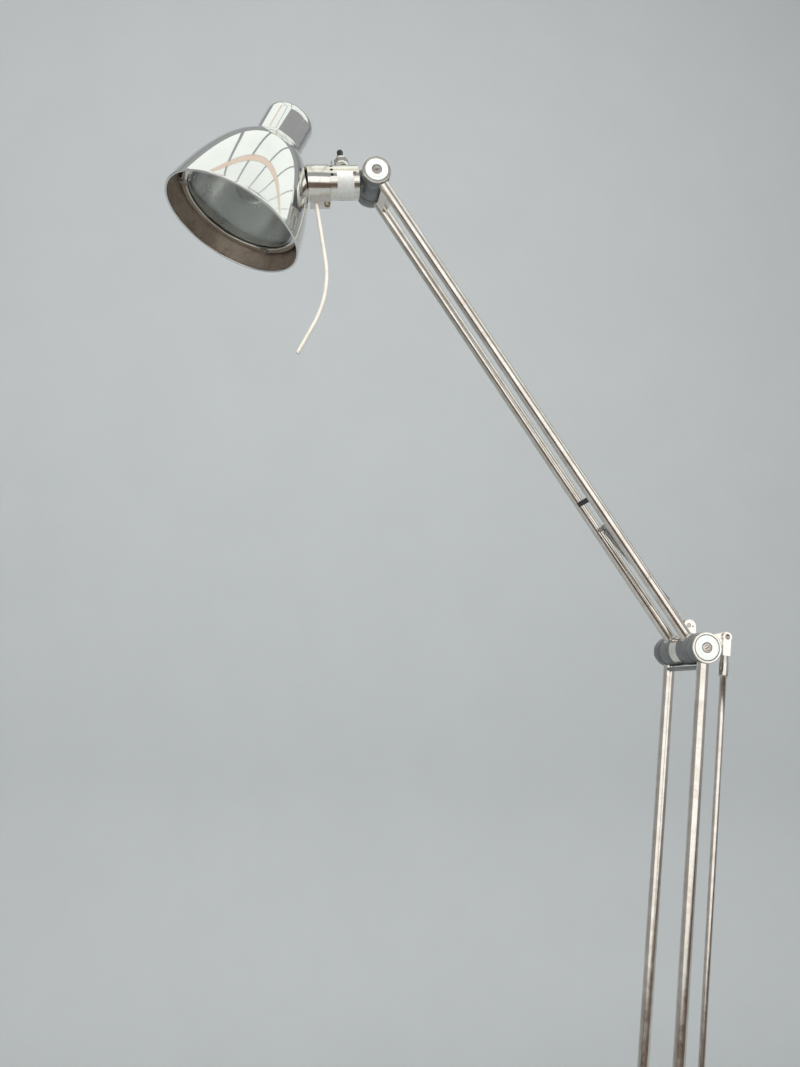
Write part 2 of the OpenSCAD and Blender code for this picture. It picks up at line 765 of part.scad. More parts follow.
// half section of the dome and neck; inset is the distance in from the outside
module dome_outline(inset) {
    low = inset > 0 ? -1 : 0;
    polygon(concat([[0, low], [rim_r - inset, low]], dome_points(inset), [[0, dome_end - inset]]));
    neck_outline(inset);
    if (inset == 0) neck_fillet();
}
module dome_solid() {
    rotate_extrude($fn = 128) dome_outline(0);
}
module shade_shell() {
    bead_r = 1.3;
    color([0.82, 0.82, 0.82]) difference() {
        in_shade() difference() {
            rotate_extrude($fn = 128) union() {
                difference() {
                    dome_outline(0);
                    dome_outline(shade_wall);
                }
                translate([rim_r - bead_r, bead_r]) circle(r = bead_r, $fn = 24);
            }
            // two small holes one above the other, on each side of the neck
            for (side = [0, 180], below = [22, 35]) rotate(side - 26)
                translate([neck_r - 5, 0, neck_top - below]) rotate([0, 90, 0]) cylinder(r = 0.9, h = 10);
        }
        swivelled() x_rod(7 + run_gap, collar_x0 - 20, collar_x0 + 10);
    }
}
// recessed bowl that surrounds the bulb, with a flat flange behind the glass
module inner_reflector() {
    flange_r = 66;
    bowl_r = 60;
    z0 = glass_z + 3;
    color([0.8, 0.8, 0.8]) in_shade() rotate_extrude($fn = 96) union() {
        translate([bowl_r - 1, z0]) square([flange_r - bowl_r + 1, 1]);
        difference() {
            polygon([for (i = [0:16]) let (a = i * 76 / 16) [bowl_r * cos(a), z0 + (reflector_top - z0) * sin(a)]]);
            polygon([for (i = [0:16]) let (a = i * 76 / 16)
                [(bowl_r - 1) * cos(a) - 0.2, z0 - 0.1 + (reflector_top - z0 - 1) * sin(a)]]);
            translate([-1, 0]) square([15.4, 200]);
        }
    }
}
module cover_glass() {
    color([0.85, 0.9, 0.9, 0.35]) in_shade() translate([0, 0, glass_z]) cylinder(r = 66, h = 3, $fn = 96);
}
// three clips that hold the glass against the reflector's flange
module glass_clips() {
    clips = 3;
    color("gray") in_shade() for (i = [0:clips - 1]) rotate(i * 360 / clips + 62) union() {
        translate([60, -5, glass_z - 1.4]) cube([9.2, 10, 1.2]);
        translate([66.4, -5, glass_z - 1.4]) cube([2.8, 10, 9]);
        translate([66.2, 0, glass_z - 3]) cylinder(r = 2.4, h = 2);
    }
}
module lamp_holder() {
    color([0.88, 0.87, 0.84]) in_shade() difference() {
        union() {
            translate([0, 0, 100]) cylinder(r = 19, h = 34);
            translate([0, 0, 134]) cylinder(r = 13, h = 12);
        }
        translate([0, 0, 99]) cylinder(r = 13.6, h = 27);
    }
}
module bulb() {
    bulb_r = 20;
    color([0.95, 0.95, 0.9, 0.35]) in_shade() rotate_extrude() intersection() {
        translate([0, 30]) square([30, 96]);
        union() {
            translate([0, 56]) circle(r = bulb_r);
            polygon([[0, 66], [17.3, 66], [13, 84], [12.6, 100], [0, 100]]);
            translate([0, 98]) square([12.6, 27]);
        }
    }
}

base_weight();
base_cover();
base_feet();
base_bolt();
cable_gland();
column_flange();
column_tube();
column_plug();
swivel_socket();
swivel_post();
fork_yoke();
fixed_lever();
lower_axle();
fixed_lever_pins();
lower_tube_near();
lower_tube_far();
lower_foot_hubs();
lower_foot_caps();
lower_spring_pin();
lower_cross_bar();
lower_spring();
elbow_outer_hubs();
elbow_bridge();
elbow_axle();
elbow_caps();
elbow_cap_screws();
crank_ring();
crank_pins();
tie_rod();
tie_rod_ends();
upper_tube_near();
upper_tube_far();
elbow_inner_hubs();
rubber_cross_bar();
upper_spring_pin();
upper_spring();
top_hubs();
top_bridge();
top_axle();
top_caps();
top_cap_screws();
head_hub();
head_tube();
head_tube_screw();
blank_label();
switch_body();
switch_bushing();
switch_washer();
toggle_lever();
swivel_collar();
clamp_screw();
handle_rod();
handle_tip();
shade_shell();
inner_reflector();
cover_glass();
glass_clips();
lamp_holder();
bulb();
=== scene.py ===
"""Adjustable arm floor lamp: the looks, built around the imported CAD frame. Metres, +Z up."""
import json
import math
import bpy
import bmesh
from mathutils import Matrix, Vector


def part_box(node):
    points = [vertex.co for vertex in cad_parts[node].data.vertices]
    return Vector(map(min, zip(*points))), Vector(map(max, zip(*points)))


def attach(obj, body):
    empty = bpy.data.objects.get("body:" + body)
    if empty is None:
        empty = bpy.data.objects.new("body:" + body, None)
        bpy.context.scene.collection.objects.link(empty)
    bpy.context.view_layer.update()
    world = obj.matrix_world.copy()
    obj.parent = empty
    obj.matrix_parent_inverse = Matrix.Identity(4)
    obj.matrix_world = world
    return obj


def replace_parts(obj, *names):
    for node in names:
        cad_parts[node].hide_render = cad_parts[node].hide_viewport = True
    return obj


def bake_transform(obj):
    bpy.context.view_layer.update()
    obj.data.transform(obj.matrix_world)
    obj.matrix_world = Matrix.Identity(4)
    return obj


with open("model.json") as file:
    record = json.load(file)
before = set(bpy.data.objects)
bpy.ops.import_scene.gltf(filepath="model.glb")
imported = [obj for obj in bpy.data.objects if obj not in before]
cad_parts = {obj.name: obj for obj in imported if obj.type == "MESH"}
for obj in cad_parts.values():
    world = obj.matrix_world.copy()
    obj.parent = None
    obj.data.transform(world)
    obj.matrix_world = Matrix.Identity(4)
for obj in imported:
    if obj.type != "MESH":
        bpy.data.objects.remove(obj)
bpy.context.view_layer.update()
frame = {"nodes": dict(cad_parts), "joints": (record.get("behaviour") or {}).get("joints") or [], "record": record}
nodes = frame["nodes"]
joints = {j["name"]: j for j in frame["joints"]}
MM = 0.001
TAU = 2 * math.pi

# ---------- places, from the joints ----------
ELBOW = Vector(joints["elbow_tilt"]["pos_m"])
LOWER = Vector(joints["lower_tilt"]["pos_m"])
TOP = Vector(joints["head_tilt"]["pos_m"])
HEAD_AXIS = Vector(joints["shade_swivel"]["axis"])


def turn(axis, degrees):
    return Matrix.Rotation(math.radians(degrees), 4, axis)


HEAD_SLOPE = math.degrees(math.asin(HEAD_AXIS.z))
UPPER_LEAN = math.degrees(math.atan2(ELBOW.x - TOP.x, TOP.z - ELBOW.z))
LOWER_LEAN = math.degrees(math.atan2(ELBOW.x - LOWER.x, ELBOW.z - LOWER.z))
SHADE_SWIVEL = -5.2
SHADE_TILT = 30.5
RIM_REACH = 156.3 * MM
RIM_DROP = 47.2 * MM

# frames of the head tube, the swivelling parts and the shade
AT_HEAD = Matrix.Translation(TOP) @ turn("Y", -HEAD_SLOPE)
SWIVELLED = AT_HEAD @ turn("X", SHADE_SWIVEL)
IN_SHADE = SWIVELLED @ Matrix.Translation((-RIM_REACH, 0, -RIM_DROP)) @ turn("Y", SHADE_TILT)


# ---------- camera, at the photograph's place and angle ----------
CAMERA_FROM_ELBOW = Vector((-0.4694, -0.9855, -0.0495))
CAMERA_UP = 9.45
CAMERA_RIGHT = 9.35
LENS = 33.23


def make_camera():
    data = bpy.data.cameras.new("camera")
    cam = bpy.data.objects.new("camera", data)
    bpy.context.scene.collection.objects.link(cam)
    cam.location = ELBOW + CAMERA_FROM_ELBOW
    cam.rotation_euler = (math.radians(90 + CAMERA_UP), 0, math.radians(-CAMERA_RIGHT))
    data.lens = LENS
    data.sensor_width = 36
    data.clip_start = 0.02
    data.clip_end = 50
    bpy.context.scene.camera = cam


make_camera()


# ---------- material helpers ----------
class Paint:
    """A node material with one Principled shader, and short calls for its textures."""

    def __init__(self, name, color, metallic=0.0, roughness=0.4, **sockets):
        self.mat = bpy.data.materials.new(name)
        self.mat.use_nodes = True
        self.tree = self.mat.node_tree
        self.shader = self.tree.nodes["Principled BSDF"]
        self.set("Base Color", (*color, 1))
        self.set("Metallic", metallic)
        self.set("Roughness", roughness)
        for socket, value in sockets.items():
            self.set(socket.replace("_", " "), value)

    def set(self, socket, value):
        self.shader.inputs[socket].default_value = value

    def node(self, kind, **values):
        made = self.tree.nodes.new(kind)
        for key, value in values.items():
            if hasattr(made, key):
                setattr(made, key, value)
            else:
                made.inputs[key.replace("_", " ")].default_value = value
        return made

    def link(self, out, into):
        self.tree.links.new(out, into)

    def coords(self, scale=(1, 1, 1), turn_by=(0, 0, 0)):
        tex = self.node("ShaderNodeTexCoord")
        mapping = self.node("ShaderNodeMapping")
        mapping.inputs["Scale"].default_value = scale
        mapping.inputs["Rotation"].default_value = turn_by
        self.link(tex.outputs["Object"], mapping.inputs["Vector"])
        return mapping.outputs["Vector"]

    def noise(self, scale, detail=4, rough=0.5, stretch=(1, 1, 1), turn_by=(0, 0, 0)):
        made = self.node("ShaderNodeTexNoise", Scale=scale, Detail=detail, Roughness=rough)
        self.link(self.coords(stretch, turn_by), made.inputs["Vector"])
        return made.outputs["Fac"]

    def spots(self, scale, low, high):
        """Small round spots: 1 in a spot, 0 outside it."""
        made = self.node("ShaderNodeTexVoronoi", Scale=scale, Randomness=1.0)
        self.link(self.coords(), made.inputs["Vector"])
        return self.between(made.outputs["Distance"], low, high, 1, 0)

    def between(self, value, low, high, to_low, to_high):
        made = self.node("ShaderNodeMapRange")
        for key, number in zip(("From Min", "From Max", "To Min", "To Max"), (low, high, to_low, to_high)):
            made.inputs[key].default_value = number
        self.link(value, made.inputs["Value"])
        return made.outputs["Result"]

    def math(self, operation, a, b):
        made = self.node("ShaderNodeMath", operation=operation)
        for i, value in enumerate((a, b)):
            if isinstance(value, (int, float)):
                made.inputs[i].default_value = value
            else:
                self.link(value, made.inputs[i])
        return made.outputs["Value"]

    def mix(self, factor, a, b):
        """Colour a where factor is 0 and b where it is 1. Each is a colour or a node's output."""
        made = self.node("ShaderNodeMix", data_type="RGBA")
        self.link(factor, made.inputs["Factor"])
        for socket, value in zip(("A", "B"), (a, b)):
            into = [i for i in made.inputs if i.name == socket and i.type == "RGBA"][0]
            if isinstance(value, tuple):
                into.default_value = (*value, 1)
            else:
                self.link(value, into)
        return [o for o in made.outputs if o.type == "RGBA"][0]

    def color(self, out):
        self.link(out, self.shader.inputs["Base Color"])

    def roughness(self, out):
        self.link(out, self.shader.inputs["Roughness"])

    def bump(self, height, strength, distance):
        made = self.node("ShaderNodeBump", Strength=strength, Distance=distance)
        self.link(height, made.inputs["Height"])
        if self.shader.inputs["Normal"].is_linked:
            before = self.shader.inputs["Normal"].links[0].from_socket
            self.link(before, made.inputs["Normal"])
        self.link(made.outputs["Normal"], self.shader.inputs["Normal"])

    def edge_wear(self, worn, base, radius=0.001, low=0.03, high=0.25):
        """The worn colour on edges, broken up by noise, over base."""
        bevel = self.node("ShaderNodeBevel", samples=4)
        bevel.inputs["Radius"].default_value = radius
        geometry = self.node("ShaderNodeNewGeometry")
        dot = self.node("ShaderNodeVectorMath", operation="DOT_PRODUCT")
        self.link(bevel.outputs["Normal"], dot.inputs[0])
        self.link(geometry.outputs["Normal"], dot.inputs[1])
        edge = self.between(dot.outputs["Value"], 1 - low, 1 - high, 0, 1)
        wear = self.math("MULTIPLY", edge, self.between(self.noise(220, 6), 0.42, 0.62, 0, 1))
        return self.mix(wear, base, worn)


# ---------- materials ----------
def polished_chrome():
    p = Paint("polished_chrome", (0.80, 0.80, 0.78), 1.0, 0.06)
    smears = p.noise(14, 6, 0.6)
    specks = p.spots(260, 0.05, 0.12)
    p.color(p.mix(p.between(smears, 0.3, 0.7, 0, 1), (0.83, 0.83, 0.81), (0.74, 0.74, 0.72)))
    fine = p.between(smears, 0.35, 0.75, 0.035, 0.11)
    p.roughness(p.math("ADD", fine, p.math("MULTIPLY", specks, 0.25)))
    p.bump(p.noise(900, 3, 0.5), 0.02, 0.0003)
    p.bump(p.noise(24, 2, 0.4), 0.05, 0.0004)
    return p.mat


def nickel_tube():
    p = Paint("nickel_tube", (0.74, 0.70, 0.65), 1.0, 0.14)
    streaks = p.noise(60, 8, 0.65)
    pits = p.spots(520, 0.03, 0.09)
    tone = p.mix(p.between(streaks, 0.35, 0.68, 0, 1), (0.80, 0.765, 0.715), (0.62, 0.565, 0.50))
    p.color(p.mix(p.math("MULTIPLY", pits, 0.6), tone, (0.24, 0.19, 0.15)))
    p.roughness(p.between(p.noise(130, 6, 0.7), 0.3, 0.75, 0.09, 0.24))
    p.bump(p.noise(700, 5, 0.6), 0.07, 0.0002)
    return p.mat


def satin_nickel():
    p = Paint("satin_nickel", (0.80, 0.77, 0.72), 1.0, 0.15)
    cloud = p.noise(45, 6, 0.6)
    tone = p.mix(p.between(cloud, 0.35, 0.7, 0, 1), (0.84, 0.815, 0.765), (0.72, 0.68, 0.61))
    p.color(p.mix(p.spots(330, 0.04, 0.10), tone, (0.36, 0.31, 0.25)))
    p.roughness(p.between(cloud, 0.3, 0.7, 0.10, 0.22))
    p.bump(p.noise(800, 4, 0.6), 0.06, 0.0002)
    return p.mat


def cap_metal():
    p = Paint("cap_metal", (0.91, 0.94, 0.91), 0.3, 0.38)
    cloud = p.noise(120, 5, 0.6)
    p.color(p.mix(p.between(cloud, 0.3, 0.75, 0, 1), (0.93, 0.96, 0.93), (0.83, 0.87, 0.82)))
    p.roughness(p.between(cloud, 0.3, 0.7, 0.30, 0.46))
    p.bump(p.noise(1500, 3, 0.5), 0.10, 0.0001)
    return p.mat


def hub_grey():
    p = Paint("hub_grey", (0.17, 0.175, 0.178), 0.45, 0.40)
    cloud = p.noise(70, 6, 0.6)
    base = p.mix(p.between(cloud, 0.35, 0.7, 0, 1), (0.225, 0.23, 0.232), (0.175, 0.178, 0.18))
    p.color(p.edge_wear((0.42, 0.41, 0.40), base))
    p.roughness(p.between(cloud, 0.3, 0.7, 0.33, 0.48))
    p.bump(p.noise(1400, 4, 0.6), 0.12, 0.0002)
    return p.mat


def steel(name="steel", light=(0.52, 0.50, 0.47), dark=(0.30, 0.28, 0.25)):
    p = Paint(name, light, 1.0, 0.3)
    cloud = p.noise(160, 6, 0.65)
    p.color(p.mix(p.between(cloud, 0.4, 0.72, 0, 1), light, dark))
    p.roughness(p.between(cloud, 0.3, 0.7, 0.22, 0.46))
    p.bump(p.noise(1100, 4, 0.6), 0.12, 0.0002)
    return p.mat


def cast_iron():
    p = Paint("cast_iron", (0.06, 0.06, 0.062), 0.2, 0.6)
    cloud = p.noise(60, 6, 0.7)
    base = p.mix(p.between(cloud, 0.35, 0.7, 0, 1), (0.055, 0.055, 0.057), (0.085, 0.082, 0.078))
    p.color(base)
    p.roughness(p.between(cloud, 0.3, 0.7, 0.5, 0.75))
    p.bump(p.noise(260, 6, 0.7), 0.35, 0.0008)
    return p.mat


def matt(name, light, dark, rough=(0.6, 0.8), grain=600, strength=0.15, coarse=70):
    p = Paint(name, light, 0.0, sum(rough) / 2)
    cloud = p.noise(coarse, 6, 0.65)
    p.color(p.mix(p.between(cloud, 0.35, 0.72, 0, 1), light, dark))
    p.roughness(p.between(cloud, 0.3, 0.7, *rough))
    p.bump(p.noise(grain, 4, 0.6), strength, 0.0003)
    return p.mat


def reflector_metal():
    p = Paint("reflector", (0.78, 0.78, 0.76), 1.0, 0.24)
    cloud = p.noise(40, 5, 0.6)
    p.color(p.mix(p.between(cloud, 0.3, 0.75, 0, 1), (0.82, 0.82, 0.80), (0.70, 0.70, 0.68)))
    p.roughness(p.between(cloud, 0.3, 0.7, 0.16, 0.30))
    p.bump(p.noise(160, 3, 0.5), 0.05, 0.0004)
    return p.mat


def shade_inside():
    p = Paint("shade_inside", (0.25, 0.20, 0.16), 0.55, 0.42)
    cloud = p.noise(38, 8, 0.7)
    rust = p.between(p.noise(90, 8, 0.75), 0.52, 0.68, 0, 1)
    tone = p.mix(p.between(cloud, 0.35, 0.68, 0, 1), (0.46, 0.39, 0.32), (0.30, 0.24, 0.185))
    p.color(p.mix(rust, tone, (0.30, 0.20, 0.13)))
    p.roughness(p.between(cloud, 0.3, 0.7, 0.32, 0.58))
    p.bump(p.noise(300, 6, 0.7), 0.18, 0.0004)
    return p.mat


def glass(name, tint, rough=0.02):
    p = Paint(name, tint, 0.0, rough, IOR=1.46, Transmission_Weight=1.0)
    dust = p.noise(60, 6, 0.65)
    p.roughness(p.between(dust, 0.45, 0.8, rough, rough + 0.10))
    p.bump(p.noise(30, 2, 0.4), 0.02, 0.0003)
    return p.mat


def glaze():
    p = Paint("ceramic", (0.84, 0.82, 0.77), 0.0, 0.25, Coat_Weight=0.5)
    cloud = p.noise(50, 5, 0.6)
    p.color(p.mix(p.between(cloud, 0.3, 0.75, 0, 1), (0.86, 0.84, 0.79), (0.78, 0.75, 0.69)))
    p.roughness(p.between(cloud, 0.3, 0.7, 0.2, 0.34))
    p.bump(p.noise(400, 3, 0.5), 0.05, 0.0002)
    return p.mat


CHROME = polished_chrome()
NICKEL = nickel_tube()
SATIN = satin_nickel()
CAP = cap_metal()
HUB = hub_grey()
STEEL = steel()
BRONZE = steel("aged_steel", (0.42, 0.34, 0.25), (0.22, 0.16, 0.11))
PALE_STEEL = steel("pale_steel", (0.72, 0.66, 0.62), (0.50, 0.44, 0.40))
FILAMENT = steel("filament", (0.55, 0.55, 0.55), (0.40, 0.40, 0.40))
SPRING = steel("spring_steel", (0.50, 0.49, 0.47), (0.28, 0.27, 0.26))
IRON = cast_iron()
RUBBER = matt("black_rubber", (0.028, 0.028, 0.030), (0.045, 0.044, 0.043))
PLASTIC = matt("black_plastic", (0.012, 0.012, 0.014), (0.022, 0.022, 0.024), (0.14, 0.26), 900, 0.04)
LABEL = matt("label_white", (0.84, 0.84, 0.82), (0.72, 0.71, 0.67), (0.4, 0.55), 800, 0.05, 260)
SLEEVE = matt("cream_sleeve", (0.83, 0.80, 0.71), (0.72, 0.67, 0.56), (0.34, 0.5), 500, 0.08, 60)
REFLECTOR = reflector_metal()
INSIDE = shade_inside()
GLASS = glass("clear_glass", (0.93, 0.96, 0.95))
BULB_GLASS = glass("bulb_glass", (0.98, 0.98, 0.96), 0.01)
CERAMIC = glaze()
BY_SLOT = {
    "polished_chrome": CHROME, "nickel_tube": NICKEL, "satin_nickel": SATIN, "cap_metal": CAP,
    "hub_grey": HUB, "steel": STEEL, "spring_steel": SPRING, "cast_iron": IRON, "black_rubber": RUBBER,
    "black_plastic": PLASTIC, "label_white": LABEL, "cream_sleeve": SLEEVE, "reflector": REFLECTOR,
    "clear_glass": GLASS, "bulb_glass": BULB_GLASS, "ceramic": CERAMIC,
}


def paint_cad_nodes():
    for part in frame["record"]["subparts"]:
        node = nodes[part["node"]]
        for material_slot in node.material_slots:
            material_slot.material = BY_SLOT[part["material_slot"]]


paint_cad_nodes()
nodes["clamp_screw"].material_slots[0].material = BRONZE


# ---------- mesh helpers ----------
def new_piece(name, mesh, material, body, sharp=35):
    """Adds a finished mesh as a piece. It rides on body, or on nothing yet where body is None."""
    mesh.materials.append(material)
    mesh.polygons.foreach_set("use_smooth", [True] * len(mesh.polygons))
    mesh.set_sharp_from_angle(angle=math.radians(sharp))
    piece = bpy.data.objects.new(name, mesh)
    bpy.context.scene.collection.objects.link(piece)
    if body:
        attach(piece, body)
    return piece


def arc(centre, radius, start, end, steps):
    """Points of an arc in a profile; angles in degrees."""
    angles = [math.radians(start + (end - start) * i / steps) for i in range(steps + 1)]
    return [(centre[0] + radius * math.cos(a), centre[1] + radius * math.sin(a)) for a in angles]


def lathe_mesh(name, profile, place, segments=96, closed=True):
    """A profile of (radius, height) points in mm turned about Z, then put in place.
    A point on the axis becomes a pole. A closed profile joins its last point to its first."""
    bm = bmesh.new()
    rings = []
    for radius, height in profile:
        if radius < 1e-6:
            rings.append([bm.verts.new((0, 0, height * MM))])
        else:
            rings.append([bm.verts.new((radius * MM * math.cos(TAU * i / segments),
                                        radius * MM * math.sin(TAU * i / segments), height * MM))
                          for i in range(segments)])
    pairs = list(zip(rings, rings[1:]))
    if closed and not (len(rings[0]) == 1 and len(rings[-1]) == 1):
        pairs.append((rings[-1], rings[0]))
    for low, high in pairs:
        for i in range(segments):
            j = (i + 1) % segments
            corners = [low[i % len(low)], low[j % len(low)], high[j % len(high)], high[i % len(high)]]
            face = list(dict.fromkeys(corners))
            if len(face) > 2:
                bm.faces.new(face)
    bmesh.ops.recalc_face_normals(bm, faces=bm.faces)
    mesh = bpy.data.meshes.new(name)
    bm.to_mesh(mesh)
    bm.free()
    mesh.transform(place)
    return mesh


def tube_mesh(name, path, radius, sides=12):
    """A round wire along a list of points, with closed ends."""
    bm = bmesh.new()
    rings = []
    side = None
    for i, point in enumerate(path):
        ahead = (path[min(i + 1, len(path) - 1)] - path[max(i - 1, 0)]).normalized()
        if side is None:
            side = ahead.orthogonal().normalized()
        side = (side - ahead * side.dot(ahead)).normalized()
        across = ahead.cross(side)
        rings.append([bm.verts.new(point + radius * (math.cos(TAU * k / sides) * side
                                                     + math.sin(TAU * k / sides) * across))
                      for k in range(sides)])
    for low, high in zip(rings, rings[1:]):
        for k in range(sides):
            j = (k + 1) % sides
            bm.faces.new((low[k], low[j], high[j], high[k]))
    bm.faces.new(rings[0])
    bm.faces.new(rings[-1])
    bmesh.ops.recalc_face_normals(bm, faces=bm.faces)
    mesh = bpy.data.meshes.new(name)
    bm.to_mesh(mesh)
    bm.free()
    return mesh


def bar_mesh(name, size, place, rounding=0.12):
    """A small bar of a size in mm, its edges rounded, put in place."""
    bm = bmesh.new()
    bmesh.ops.create_cube(bm, size=1)
    bmesh.ops.scale(bm, vec=Vector(size) * MM, verts=bm.verts)
    bmesh.ops.bevel(bm, geom=bm.edges, offset=rounding * MM, segments=2, affect="EDGES")
    mesh = bpy.data.meshes.new(name)
    bm.to_mesh(mesh)
    bm.free()
    mesh.transform(place)
    return mesh


def joined(name, *meshes):
    """Several meshes as one."""
    bm = bmesh.new()
    for mesh in meshes:
        bm.from_mesh(mesh)
    mesh = bpy.data.meshes.new(name)
    bm.to_mesh(mesh)
    bm.free()
    return mesh


# ---------- shade, in its own frame: mm, z from the rim up the neck ----------
RIM_R = 77.0
DOME_H = 114.0
DOME_END = 106.0
NECK_R = 26.9
NECK_TOP = 152.0
NECK_ROUND = 12.0
NECK_HOLES_BELOW_TOP = (22, 35)
NECK_HOLES_TURN = -26
FILLET_R = 6.0
FILLET_SWEEP = 50
BEAD_R = 1.3
WALL = 1.2
GLASS_Z = 21.0
REFLECTOR_TOP = 100.0


def dome_r(height):
    return RIM_R * (1 - (height / DOME_H) ** 1.25) ** 0.4


def shade_outline(inset, low, steps=72):
    """The shade's half section from height low to the top's middle, inset from its outside."""
    fillet_z = DOME_END + FILLET_R * math.sin(math.radians(FILLET_SWEEP))
    top = DOME_END - inset
    dome = [(dome_r(low + (top - low) * i / steps) - inset, low + (top - low) * i / steps)
            for i in range(steps + 1)]
    fillet = arc((NECK_R + FILLET_R, fillet_z), FILLET_R + inset, 180 + FILLET_SWEEP, 180, 10)
    crown = arc((NECK_R - NECK_ROUND, NECK_TOP - NECK_ROUND), NECK_ROUND - inset, 0, 90, 16)
    return dome[:-1] + fillet + crown + [(0, NECK_TOP - inset)]


def make_shade():
    half_wall = WALL / 2
    bead = arc((RIM_R - BEAD_R, BEAD_R), BEAD_R, 100, 355, 24)
    outside = bead + shade_outline(0, 1.5)
    middle = shade_outline(half_wall, 2.6)
    skin = lathe_mesh("shade_skin", outside + middle[::-1], IN_SHADE, 192)
    skin_piece = new_piece("shade_skin", skin, CHROME, "shade")
    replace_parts(skin_piece, "shade_shell")
    lining = lathe_mesh("shade_lining", shade_outline(half_wall + 0.02, 2.8) + shade_outline(WALL, 2.8)[::-1],
                        IN_SHADE, 160)
    new_piece("shade_lining", lining, INSIDE, "shade")


def make_reflector():
    z0 = GLASS_Z + 3
    rise = REFLECTOR_TOP - z0
    bowl_r, thick, throat = 60.0, 1.0, 76

    def bowl(inset):
        angles = [math.radians(a) for a in range(4, throat + 1, 3)]
        return [((bowl_r - inset) * math.cos(a), z0 + (rise - inset) * math.sin(a)) for a in angles]
    flange = [(66, z0 + 0.1), (66.3, z0 + 0.5), (66, z0 + 1.1), (61.2, z0 + 1.1)]
    profile = [(59.2, z0 + 0.1)] + flange + bowl(0) + bowl(thick)[::-1]
    mesh = lathe_mesh("reflector_bowl", profile, IN_SHADE, 144)
    piece = new_piece("reflector_bowl", mesh, REFLECTOR, "shade")
    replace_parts(piece, "inner_reflector")


def make_glass_ring():
    """The bright ring that holds the glass, in front of it."""
    front, back = GLASS_Z - 1.3, GLASS_Z - 0.1
    profile = [(61.2, back), (61.2, front + 0.5)] + arc((61.8, front + 0.6), 0.6, 180, 270, 4)
    profile += arc((66.8, front + 0.6), 0.6, 270, 360, 4) + [(67.4, back)]
    new_piece("glass_ring", lathe_mesh("glass_ring", profile, IN_SHADE, 144), SATIN, "shade")


def make_neck_hole_shades():
    """Painted shade for the two small holes on each side of the neck: black discs on the skin, which has no holes
    cut in it.
    """
    profile = [(0, -0.5), (0.9, -0.5), (1.0, -0.1), (0.95, 0.1), (0.7, 0.14), (0.5, 0.05), (0, 0.02)]
    for side, tag in ((0, "a"), (180, "b")):
        for below, row in zip(NECK_HOLES_BELOW_TOP, ("upper", "lower")):
            on_neck = Matrix.Translation(Vector((NECK_R - 0.1, 0, NECK_TOP - below)) * MM)
            place = IN_SHADE @ turn("Z", side + NECK_HOLES_TURN) @ on_neck
            mesh = lathe_mesh("eye", profile, place @ turn("Y", 90), 24)
            new_piece("neck_hole_shade_" + tag + "_" + row, mesh, IRON, "shade")


def make_bulb_envelope():
    """Thin blown glass: a round bulb that runs into a narrow neck."""
    centre, radius, wall = 56.0, 19.6, 0.7
    neck = [(15.4, 70.5), (14.1, 75), (13.2, 81), (12.5, 88), (11.9, 96), (11.7, 100)]
    outside = arc((0, centre), radius, -90, 32, 22) + neck
    inside = arc((0, centre), radius - wall, -90, 32, 22) + [(r - wall, z) for r, z in neck]
    outside[0], inside[0] = (0, centre - radius), (0, centre - radius + wall)
    envelope = lathe_mesh("envelope", outside + inside[::-1], IN_SHADE, 96, closed=False)
    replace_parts(new_piece("bulb_envelope", envelope, BULB_GLASS, "shade"), "bulb")


def make_bulb_cap():
    """Threaded cap with its contact at the end."""
    cap_r, thread_low, thread_high, pitch, depth, steps = 12.4, 101.0, 119.0, 3.6, 0.35, 60
    thread = [(cap_r - depth + depth * math.sin(TAU * z / pitch), z)
              for z in (thread_low + (thread_high - thread_low) * i / steps for i in range(steps + 1))]
    cap = [(0, 98.5), (cap_r - 0.2, 98.5), (cap_r, 98.8), (cap_r, 100.4)] + thread
    cap += [(10.6, 120.4), (6.0, 122.4), (4.6, 122.6), (4.4, 124.0), (3.2, 124.8), (0, 125)]
    new_piece("bulb_cap", lathe_mesh("cap", cap, IN_SHADE, 72, closed=False), PALE_STEEL, "shade")


def make_filament():
    """Glass stem, two support wires and the filament's fine coil between them."""
    stem = [(0, 74), (1.6, 74.4), (2.2, 76), (2.0, 84), (3.4, 92), (8.5, 98.4), (0, 98.4)]
    mesh = lathe_mesh("stem", stem, IN_SHADE, 32, closed=False)
    new_piece("bulb_stem", mesh, BULB_GLASS, "shade")

    def wire(points, radius):
        return tube_mesh("wire", [IN_SHADE @ (Vector(point) * MM) for point in points], radius * MM, 8)
    half, top, turns, per_turn, coil_r, sag = 7.0, 58.0, 26, 10, 0.55, 1.4
    total = turns * per_turn
    legs = [wire([(side * 1.4, 0, 75), (side * 1.8, 0, 70), (side * half, 0, top)], 0.3) for side in (-1, 1)]
    spiral = [(-half + 2 * half * i / total, coil_r * math.cos(TAU * i / per_turn),
               top - sag * math.sin(math.pi * i / total) + coil_r * math.sin(TAU * i / per_turn))
              for i in range(total + 1)]
    new_piece("bulb_filament", joined("filament", *legs, wire(spiral, 0.12)), FILAMENT, "shade")


make_shade()
make_reflector()
make_glass_ring()
make_neck_hole_shades()
make_bulb_envelope()
make_bulb_cap()
make_filament()


